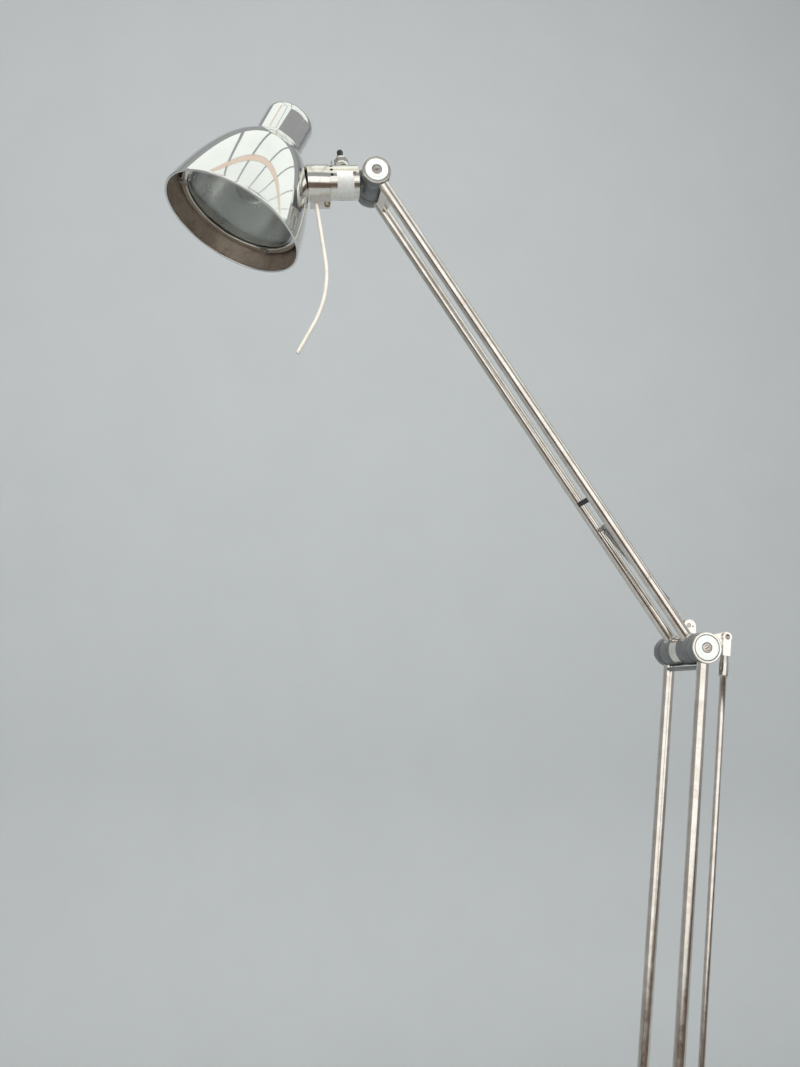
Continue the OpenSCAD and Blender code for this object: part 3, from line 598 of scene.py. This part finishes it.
# ---------- springs ----------
def make_spring(name, cad_node, start, end, diameter, wire):
    """A close-wound spring: a strap on the lever's pin, the coil, and an open hook over the far pin."""
    axis = (end - start).normalized()
    side = Vector((0, 1, 0))
    across = side.cross(axis)
    strap_y, strap_t, strap_w, coil_start = 3.7, 1.5, 5.0, 34.0
    radius, hook = (diameter - wire) / 2 * MM, 3.3 * MM
    length = (end - start).length - hook - coil_start * MM
    turns, per_turn = int(length / (wire * 1.13 * MM)), 20
    first = start + axis * coil_start * MM
    leader = [start + side * (strap_y - strap_t / 2) * MM + axis * (coil_start - 3) * MM]
    leader += [first + side * strap_y * 0.6 * MM - axis * 1.5 * MM]
    coil = [first + axis * (length * k / (turns * per_turn))
            + radius * (math.cos(TAU * k / per_turn) * side + math.sin(TAU * k / per_turn) * across)
            for k in range(turns * per_turn + 1)]
    loop = [end + hook * (-math.cos(math.radians(a)) * axis + math.sin(math.radians(a)) * across)
            for a in range(40, 331, 15)]
    wire_mesh = tube_mesh("wire", leader + coil + loop, wire / 2 * MM, 8)
    frame_of_strap = Matrix((across, side, axis)).transposed().to_4x4()
    outline = arc((0, 0), strap_w / 2 + 1, 200, 340, 12) + arc((0, coil_start), strap_w / 2, 0, 180, 12)
    bm = bmesh.new()
    near = [bm.verts.new(Vector((x, strap_y - strap_t / 2, z)) * MM) for x, z in outline]
    face = bm.faces.new(near)
    grown = bmesh.ops.extrude_face_region(bm, geom=[face])["geom"]
    far = [g for g in grown if isinstance(g, bmesh.types.BMVert)]
    bmesh.ops.translate(bm, vec=(0, strap_t * MM, 0), verts=far)
    bmesh.ops.recalc_face_normals(bm, faces=bm.faces)
    bmesh.ops.bevel(bm, geom=bm.edges, offset=0.25 * MM, segments=2, affect="EDGES")
    strap = bpy.data.meshes.new("strap")
    bm.to_mesh(strap)
    bm.free()
    strap.transform(Matrix.Translation(start) @ frame_of_strap)
    for part, mesh, low, high in (("_strap", strap, -0.05, 0.42), ("_coil", wire_mesh, -0.9, 1.0)):
        piece = new_piece(name + part, mesh, SPRING, None)
        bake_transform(piece)
        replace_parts(piece, cad_node)


def box_centre(node):
    low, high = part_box(node)
    return (low + high) / 2


# the spring's pin on a lever, from the joint's axis
CRANK_PIN = Vector((3, 0, 26)) * MM
make_spring("upper", "upper_spring", ELBOW + CRANK_PIN, box_centre("upper_spring_pin"), 8.4, 1.1)
make_spring("lower", "lower_spring", LOWER + CRANK_PIN, box_centre("lower_spring_pin"), 12.0, 1.6)


# ---------- joint caps ----------
def make_caps(name, cad_node, screw_node, middle, radius, station, body):
    """Turned caps on both ends of a joint, station mm from its middle: a rounded rim, a groove, a crowned disc and
    a sunk screw.
    Under them a black disc is painted shade in the groove and round the screw, and a black bar is painted shade in
    the screw's slot. Their profiles are (radius, height above the cap's face)."""
    groove = radius * 0.83
    rim = [(groove, -1.6), (radius - 0.4, -1.6), (radius, -1.2), (radius, -0.9)]
    rim += arc((radius - 0.9, -0.9), 0.9, 0, 90, 6) + [(groove + 0.5, 0.0)]
    rim += arc((groove + 0.5, -0.5), 0.5, 90, 180, 4)
    disc = [(5.4, -1.6), (groove - 0.55, -1.6), (groove - 0.55, -0.5)]
    disc += arc((groove - 0.95, -0.5), 0.4, 0, 90, 4) + [(groove - 3.2, -0.05), (groove - 3.4, -0.2)]
    disc += [(groove - 3.9, -0.2), (groove - 4.1, -0.02), (6.6, 0.12), (5.9, 0.1), (5.4, -0.3)]
    # black disc under the rim, the disc and the screw: painted shade in the groove and round the screw
    groove_shade = [(0, -1.5), (groove + 0.2, -1.5), (groove + 0.2, -1.35), (0, -1.35)]
    screw = [(0, -1.4), (4.8, -1.4), (4.8, -0.5), (4.45, -0.15), (3.1, -0.05), (2.9, -0.4)]
    screw += [(2.5, -0.5), (2.3, -0.25), (0, -0.2)]
    for side, tag in ((1, "near"), (-1, "far")):
        face = Matrix.Translation(middle + Vector((0, -side * station * MM, 0))) @ turn("X", 90 * side)
        ring = new_piece(name + "_rim_" + tag, lathe_mesh("rim", rim, face, 96), SATIN, body)
        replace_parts(ring, cad_node)
        new_piece(name + "_disc_" + tag, lathe_mesh("disc", disc, face, 96), CAP, body)
        new_piece(name + "_groove_shade_" + tag, lathe_mesh("groove_shade", groove_shade, face, 64), IRON, body)
        mesh = lathe_mesh("screw", screw, face, 48)
        head = new_piece(name + "_screw_" + tag, mesh, PALE_STEEL, body)
        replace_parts(head, screw_node)
        # black bar in the screw head: painted shade in its slot
        in_slot = face @ Matrix.Translation((0, 0, -0.12 * MM)) @ turn("Z", 25)
        slot = bar_mesh("slot", (4.2, 0.9, 0.3), in_slot)
        new_piece(name + "_slot_shade_" + tag, slot, IRON, body)


BARREL_R = 16.0
TOP_BARREL_R = 15.6
make_caps("elbow_cap", "elbow_caps", "elbow_cap_screws", ELBOW, BARREL_R, 48.0, "lower_arm")
make_caps("top_cap", "top_caps", "top_cap_screws", TOP, TOP_BARREL_R, 28.5, "upper_arm")


# ---------- tubes and rods: mm, each in its own frame with z along it ----------
ARM_LEN = (TOP - ELBOW).length / MM
TUBE_R = 6.0
TUBE_WALL = 1.0
# half the centre distance of each arm's two tubes
LOWER_PITCH = 39.8
UPPER_PITCH = 20.0
TUBE_SEAT = 10.0
HOLE_REACH = 88.0
ALONG_LOWER = Matrix.Translation(LOWER) @ turn("Y", LOWER_LEAN)
ALONG_UPPER = Matrix.Translation(ELBOW) @ turn("Y", -UPPER_LEAN)
ALONG_ROD = Matrix.Translation(Vector(joints["tie_rod_swing"]["pos_m"])) @ turn("Y", LOWER_LEAN)


def beside(frame_matrix, y):
    return frame_matrix @ Matrix.Translation((0, y * MM, 0))


def make_arm_tube(name, place, body):
    """A smooth tube in the place of the arm tube of that name."""
    low, high, steps = TUBE_SEAT + 0.2, ARM_LEN - TUBE_SEAT - 0.2, 12
    stations = [low + (high - low) * i / steps for i in range(steps + 1)]
    profile = [(TUBE_R, z) for z in stations] + [(TUBE_R - TUBE_WALL, z) for z in stations[::-1]]
    piece = new_piece("smooth_" + name, lathe_mesh(name, profile, place, 72), NICKEL, body)
    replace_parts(piece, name)


def make_tubes():
    make_arm_tube("lower_tube_near", beside(ALONG_LOWER, -LOWER_PITCH), "lower_arm")
    make_arm_tube("lower_tube_far", beside(ALONG_LOWER, LOWER_PITCH), "lower_arm")
    make_arm_tube("upper_tube_near", beside(ALONG_UPPER, -UPPER_PITCH), "upper_arm")
    make_arm_tube("upper_tube_far", beside(ALONG_UPPER, UPPER_PITCH), "upper_arm")


def make_tie_rod():
    """The rod with its turned ends: a ribbed neck and a sleeve, the same at both ends."""
    rod_r, rib_r, neck_r, sleeve_r, ribs, rib_pitch, plain_from = 3.5, 4.62, 4.0, 4.92, 4, 1.9, 43.6
    end = [(0, 19.3), (neck_r, 19.3)]
    for i in range(ribs):
        z = 19.5 + i * rib_pitch
        end += [(neck_r, z)] + arc((rib_r - 0.45, z + 0.5), 0.5, -90, 90, 5) + [(neck_r, z + 1.0)]
    end += [(sleeve_r - 0.5, 26.6)] + arc((sleeve_r - 0.6, 27.3), 0.6, -90, 0, 4)
    end += arc((sleeve_r - 2.2, 40.2), 2.2, 0, 58, 6) + [(rod_r + 0.25, 43.2), (rod_r, plain_from)]
    middle = [(rod_r, plain_from + (ARM_LEN - 2 * plain_from) * i / 10) for i in range(1, 10)]
    profile = end + middle + [(r, ARM_LEN - z) for r, z in end[::-1]]
    piece = new_piece("smooth_tie_rod", lathe_mesh("rod", profile, ALONG_ROD, 56, closed=False), NICKEL,
                      "tie_rod")
    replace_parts(piece, "tie_rod")


def make_cross_hole_shade():
    """Painted shade for the cross hole in the near upper tube: a black disc on the smooth tube, which has no hole
    cut in it.
    """
    along = Matrix.Translation((0, 0, HOLE_REACH * MM))
    place = beside(ALONG_UPPER, -UPPER_PITCH - TUBE_R + 0.1) @ along @ turn("X", 90)
    profile = [(0, -0.6), (1.4, -0.6), (1.55, 0.0), (1.45, 0.12), (1.2, 0.06), (1.0, -0.1), (0, -0.2)]
    new_piece("cross_hole_shade", lathe_mesh("hole", profile, place, 28), IRON, "upper_arm")


make_tubes()
make_tie_rod()
make_cross_hole_shade()


# ---------- weld beads where the upper tubes meet the elbow's hubs ----------
def make_beads():
    steps, ring_r, hub_r = 48, 6.4, 15.6
    for side, tag in ((-1, "near"), (1, "far")):
        path = []
        for k in range(steps + 1):
            a = TAU * k / steps
            x, y = ring_r * math.cos(a), ring_r * math.sin(a)
            along = math.sqrt(hub_r ** 2 - x * x) + 0.35 + 0.12 * math.sin(9 * a)
            path.append(ELBOW + turn("Y", -UPPER_LEAN) @ (Vector((x, side * UPPER_PITCH + y, along)) * MM))
        mesh = tube_mesh("bead_" + tag, path, 0.9 * MM, 10)
        new_piece("tube_bead_" + tag, mesh, SATIN, "upper_arm")


make_beads()


# ---------- rounded edges on CAD nodes, in mm ----------
ROUNDED = {
    "lower_foot_caps": 0.35, "elbow_outer_hubs": 0.4, "elbow_inner_hubs": 0.4, "top_hubs": 0.4,
    "head_hub": 0.4, "lower_foot_hubs": 0.4, "swivel_collar": 0.4, "head_tube": 0.25, "clamp_screw": 0.2,
    "switch_bushing": 0.2, "switch_washer": 0.1, "fork_yoke": 0.8, "swivel_socket": 0.5,
    "column_flange": 0.4, "top_bridge": 0.4, "elbow_bridge": 0.4, "base_cover": 0.4,
    "rubber_cross_bar": 0.3, "lower_cross_bar": 0.3, "glass_clips": 0.15, "cover_glass": 0.3,
}


def round_edges():
    for name, width in ROUNDED.items():
        node = nodes[name]
        weld = node.modifiers.new("weld", "WELD")
        weld.merge_threshold = 0.000002
        bevel = node.modifiers.new("round", "BEVEL")
        bevel.width = width * MM
        bevel.segments = 2
        bevel.limit_method = "ANGLE"
        bevel.angle_limit = math.radians(38)
        bevel.harden_normals = False
        bevel.use_clamp_overlap = True


round_edges()


# ---------- stage and light ----------
def stage_mesh(name, mesh, color):
    plane = bpy.data.objects.new(name, mesh)
    bpy.context.scene.collection.objects.link(plane)
    darker = tuple(c * 0.97 for c in color)
    mesh.materials.append(matt(name + "_paint", color, darker, (0.8, 0.95), 90, 0.05, 3))
    mesh.polygons.foreach_set("use_smooth", [True] * len(mesh.polygons))
    return plane


def make_backdrop():
    """Floor and back wall in one sheet, with a wide cove between them."""
    wall_y, cove, half_width, height, front = 3.3, 1.0, 8.0, 7.0, -8.0
    section = [(front, 0.0)] + arc((wall_y - cove, cove), cove, -90, 0, 16) + [(wall_y, height)]
    verts = [(x, y, z) for y, z in section for x in (-half_width, half_width)]
    faces = [(2 * i, 2 * i + 1, 2 * i + 3, 2 * i + 2) for i in range(len(section) - 1)]
    mesh = bpy.data.meshes.new("backdrop")
    mesh.from_pydata(verts, [], faces)
    stage_mesh("backdrop", mesh, (0.47, 0.49, 0.495))


def area_light(name, place, target, size, radiance, color=(1, 1, 1), in_gloss=True):
    data = bpy.data.lights.new(name, "AREA")
    data.shape = "RECTANGLE"
    data.size, data.size_y = size
    data.energy = radiance * math.pi * size[0] * size[1]
    data.color = color
    light = bpy.data.objects.new(name, data)
    bpy.context.scene.collection.objects.link(light)
    light.location = place
    light.rotation_euler = (Vector(target) - Vector(place)).to_track_quat("-Z", "Y").to_euler()
    light.visible_glossy = in_gloss
    light.visible_camera = False


PANE = (0.93, 1.0, 0.93)
BEAM = (1.0, 0.66, 0.42)
WINDOW = (1.0, 0.985, 0.96)
PANE_LEVEL = 0.78


def make_roof_light():
    """A glazed roof over the lamp: two rows of soft panes with a warm beam between them.
    Stations are distances over the height of the roof above the shade."""
    rise = 1.6
    middle = SWIVELLED.translation
    height = middle.z + rise
    columns = (-1.25, -0.72, -0.2, 0.13, 0.55, 1.0, 1.6, 2.3, 3.2)
    rows = ((-0.34, 0.36, 1.0), (-1.05, -0.44, 0.95))
    gap = 0.035
    beam_y, beam_w, beam_level = -0.39, 0.085, 0.75
    down = Vector((0, 0, -1))
    for x0, x1 in zip(columns, columns[1:]):
        for y0, y1, level in rows:
            size = ((x1 - x0 - gap) * rise, (y1 - y0) * rise)
            place = Vector((middle.x + (x0 + x1) / 2 * rise, (y0 + y1) / 2 * rise, height))
            area_light("pane", place, place + down, size, level * PANE_LEVEL, PANE)
    place = Vector((middle.x + (columns[0] + columns[-1]) / 2 * rise, beam_y * rise, height))
    size = ((columns[-1] - columns[0]) * rise, beam_w * rise)
    area_light("beam", place, place + down, size, beam_level * PANE_LEVEL, BEAM)


def make_front_windows():
    """A row of tall windows behind the camera, with narrow gaps between them."""
    edges = (-6.6, -4.6, -2.9, -1.3, 0.25, 1.9, 3.6)
    low, high, wall_y, gap, level = 0.25, 3.0, -4.2, 0.08, 1.35
    inwards = Vector((0, 1, 0))
    for x0, x1 in zip(edges, edges[1:]):
        place = Vector(((x0 + x1) / 2, wall_y, (low + high) / 2))
        size = (x1 - x0 - gap, high - low)
        area_light("window", place, place + inwards, size, level * PANE_LEVEL, WINDOW)


def make_floor_card():
    """A brown card just above the floor in front. The polished parts reflect it, no camera sees it,
    and it shades the floor under it."""
    left, right, front, back, rise = -7, 5, -6, -1.25, 0.02
    corners = [(left, front, rise), (right, front, rise), (right, back, rise), (left, back, rise)]
    mesh = bpy.data.meshes.new("floor_card")
    mesh.from_pydata(corners, [], [(0, 1, 2, 3)])
    card = stage_mesh("floor_card", mesh, (0.11, 0.075, 0.055))
    card.visible_camera = False
    card.visible_diffuse = False


def make_lights():
    make_roof_light()
    make_front_windows()
    make_floor_card()
    area_light("key", (-1.5, -3.4, 3.6), (-0.1, 0.4, 1.2), (2.4, 2.4), 3.2, (1.0, 0.99, 0.97), in_gloss=False)
    area_light("wall_wash", (0, -1.0, 4.6), (0, 3.3, 1.2), (5.0, 1.6), 6.0, (1, 1, 1), in_gloss=False)


def make_world():
    world = bpy.data.worlds.new("world")
    bpy.context.scene.world = world
    world.use_nodes = True
    background = world.node_tree.nodes["Background"]
    background.inputs["Color"].default_value = (0.37, 0.375, 0.38, 1)
    background.inputs["Strength"].default_value = 1.0


make_world()
make_backdrop()
make_lights()
bpy.context.scene.view_settings.view_transform = "Standard"
